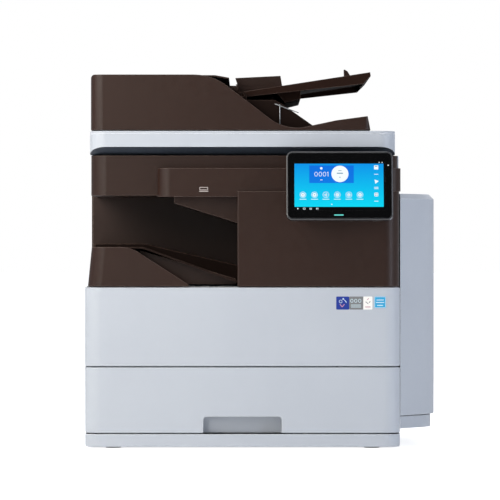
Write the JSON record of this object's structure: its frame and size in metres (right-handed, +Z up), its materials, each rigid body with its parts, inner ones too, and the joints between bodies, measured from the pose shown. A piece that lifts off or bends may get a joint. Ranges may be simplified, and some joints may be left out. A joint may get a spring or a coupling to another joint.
{
  "type": "photocopier",
  "caption": "Office photocopier with paper cassette, open output bay, side unit with bypass tray, flat-bed scanner, hinged document feeder and tilting touch screen.",
  "frame": {"origin": "the middle of the base's footprint, on the surface that the feet stand on", "axes": "+X to the machine's right, +Y to its rear, +Z up"},
  "size_m": [0.6367, 0.6347, 0.6888],
  "materials": {
    "silver_plastic": "fine satin texture, light blue-grey",
    "brown_plastic": "fine satin texture, dark brown",
    "black_plastic": "moulded, near black",
    "steel_sheet": "zinc-coated folded sheet",
    "roller_rubber": "ground rubber",
    "drum_coating": "photoconductor coating, glossy blue-green",
    "scanner_glass": "float glass",
    "white_backing": "white foam-backed sheet",
    "tablet_case": "glossy black with a grey rim",
    "tablet_screen": "glossy black glass over a lit display",
    "circuit_card": "green solder mask"
  },
  "bodies": {
    "machine": {"base_cover": "silver_plastic", "rubber_feet": "roller_rubber", "front_frame": "steel_sheet", "rear_frame": "steel_sheet", "left_cover": "silver_plastic", "upper_left_cover": "brown_plastic", "rear_cover": "silver_plastic", "right_cover": "silver_plastic", "output_tray": "brown_plastic", "bay_rear_wall": "brown_plastic", "bay_front_cover": "brown_plastic", "column_front_cover": "brown_plastic", "exit_wall": "brown_plastic", "upper_front_cover": "brown_plastic", "control_panel_housing": "brown_plastic", "scanner_housing": "silver_plastic", "scanner_top_frame": "silver_plastic", "platen_glass": "scanner_glass", "scan_rail": "steel_sheet", "scan_belt": "roller_rubber", "laser_unit": "black_plastic", "fuser_housing": "black_plastic", "toner_cartridge": "black_plastic", "circuit_boards": "circuit_card", "rear_connectors": "black_plastic", "cover_screws": "steel_sheet", "main_motor": "steel_sheet", "hinge_brackets": "steel_sheet"},
    "tablet": {"tablet_housing": "tablet_case", "tablet_glass": "tablet_screen"},
    "toner_door": {"front_door": "silver_plastic"},
    "cassette": {"cassette_front": "silver_plastic", "cassette_tray": "black_plastic"},
    "lift_plate": {"cassette_lift_plate": "steel_sheet"},
    "cassette_guide_front": {"cassette_front_guide": "black_plastic"},
    "cassette_guide_rear": {"cassette_rear_guide": "black_plastic"},
    "cassette_guide_end": {"cassette_end_guide": "black_plastic"},
    "side_unit": {"side_outer_cover": "silver_plastic", "side_lower_cover": "silver_plastic", "side_inner_frame": "black_plastic"},
    "bypass": {"bypass_tray": "brown_plastic"},
    "feeder": {"feeder_base": "brown_plastic", "feeder_front_cover": "brown_plastic", "feeder_rear_cover": "brown_plastic", "feeder_frame": "brown_plastic", "platen_backing": "white_backing", "hinge_arms": "steel_sheet"},
    "feeder_lid": {"feeder_top_cover": "brown_plastic"},
    "document_tray": {"feeder_input_tray": "brown_plastic"},
    "document_guide_front": {"feeder_front_guide": "brown_plastic"},
    "document_guide_rear": {"feeder_rear_guide": "brown_plastic"},
    "document_stopper": {"feeder_stopper": "brown_plastic"},
    "carriage": {"scan_carriage": "black_plastic"},
    "drum": {"opc_drum": "drum_coating"},
    "transfer": {"transfer_roller": "roller_rubber"},
    "heat": {"heat_roller": "roller_rubber"},
    "pressure": {"pressure_roller": "roller_rubber"},
    "pickup": {"pickup_roller": "roller_rubber"},
    "exit_rollers": {"exit_roller": "roller_rubber"},
    "feeder_pickup": {"feeder_pickup_roller": "roller_rubber"}
  },
  "joints": [
    {"name": "tablet_tilt", "type": "hinge", "parent": "machine", "child": "tablet", "pos_m": [0.173, -0.302, 0.5], "axis": [-1, 0, 0], "range_deg": [0, 35]},
    {"name": "toner_door_hinge", "type": "hinge", "parent": "machine", "child": "toner_door", "pos_m": [0, -0.284, 0.1535], "axis": [1, 0, 0], "range_deg": [0, 80]},
    {"name": "cassette_slide", "type": "slide", "parent": "machine", "child": "cassette", "axis": [0, -1, 0], "range_m": [0, 0.38]},
    {"name": "lift_plate_hinge", "type": "hinge", "parent": "cassette", "child": "lift_plate", "pos_m": [-0.0005, -0.076, 0.0375], "axis": [0, -1, 0], "range_deg": [0, 14]},
    {"name": "cassette_guide_front_slide", "type": "slide", "parent": "cassette", "child": "cassette_guide_front", "axis": [0, 1, 0], "range_m": [0, 0.075]},
    {"name": "cassette_guide_rear_slide", "type": "slide", "parent": "cassette", "child": "cassette_guide_rear", "axis": [0, -1, 0], "range_m": [0, 0.075]},
    {"name": "cassette_guide_end_slide", "type": "slide", "parent": "cassette", "child": "cassette_guide_end", "axis": [-1, 0, 0], "range_m": [0, 0.2]},
    {"name": "side_unit_hinge", "type": "hinge", "parent": "machine", "child": "side_unit", "pos_m": [0.2865, 0.197, 0.25], "axis": [0, 0, 1], "range_deg": [0, 70]},
    {"name": "bypass_hinge", "type": "hinge", "parent": "side_unit", "child": "bypass", "pos_m": [0.343, 0.029, 0.138], "axis": [0, 1, 0], "range_deg": [0, 68]},
    {"name": "feeder_hinge", "type": "hinge", "parent": "machine", "child": "feeder", "pos_m": [0, 0.273, 0.577], "axis": [-1, 0, 0], "range_deg": [0, 70]},
    {"name": "feeder_lid_hinge", "type": "hinge", "parent": "feeder", "child": "feeder_lid", "pos_m": [-0.2663, -0.025, 0.596], "axis": [0, -1, 0], "range_deg": [0, 70]},
    {"name": "document_tray_hinge", "type": "hinge", "parent": "feeder", "child": "document_tray", "pos_m": [0.0007, -0.025, 0.634], "axis": [0, -1, 0], "range_deg": [0, 35]},
    {"name": "document_guide_front_slide", "type": "slide", "parent": "document_tray", "child": "document_guide_front", "axis": [0, 1, 0], "range_m": [0, 0.09]},
    {"name": "document_guide_rear_slide", "type": "slide", "parent": "document_tray", "child": "document_guide_rear", "axis": [0, -1, 0], "range_m": [0, 0.09]},
    {"name": "document_stopper_hinge", "type": "hinge", "parent": "document_tray", "child": "document_stopper", "pos_m": [0.1897, -0.025, 0.66834], "axis": [0, -1, 0], "range_deg": [0, 55]},
    {"name": "carriage_slide", "type": "slide", "parent": "machine", "child": "carriage", "axis": [1, 0, 0], "range_m": [0, 0.43]},
    {"name": "drum_spin", "type": "hinge", "parent": "machine", "child": "drum", "pos_m": [0.216, -0.045, 0.245], "axis": [0, 1, 0], "continuous": true},
    {"name": "transfer_spin", "type": "hinge", "parent": "machine", "child": "transfer", "pos_m": [0.2403, -0.045, 0.245], "axis": [0, 1, 0], "continuous": true},
    {"name": "heat_spin", "type": "hinge", "parent": "machine", "child": "heat", "pos_m": [0.213, -0.045, 0.3355], "axis": [0, 1, 0], "continuous": true},
    {"name": "pressure_spin", "type": "hinge", "parent": "machine", "child": "pressure", "pos_m": [0.2433, -0.045, 0.3355], "axis": [0, 1, 0], "continuous": true},
    {"name": "pickup_spin", "type": "hinge", "parent": "machine", "child": "pickup", "pos_m": [0.17, -0.045, 0.149], "axis": [0, 1, 0], "continuous": true},
    {"name": "exit_spin", "type": "hinge", "parent": "machine", "child": "exit_rollers", "pos_m": [0.0055, -0.045, 0.395], "axis": [0, 1, 0], "continuous": true},
    {"name": "feeder_pickup_spin", "type": "hinge", "parent": "feeder", "child": "feeder_pickup", "pos_m": [-0.0523, -0.025, 0.645], "axis": [0, 1, 0], "continuous": true}
  ],
  "couplings": [
    {"joint": "cassette_guide_rear_slide", "follows": "cassette_guide_front_slide", "ratio": 1},
    {"joint": "document_guide_rear_slide", "follows": "document_guide_front_slide", "ratio": 1},
    {"joint": "transfer_spin", "follows": "drum_spin", "ratio": -1.6667},
    {"joint": "pressure_spin", "follows": "heat_spin", "ratio": -1}
  ]
}
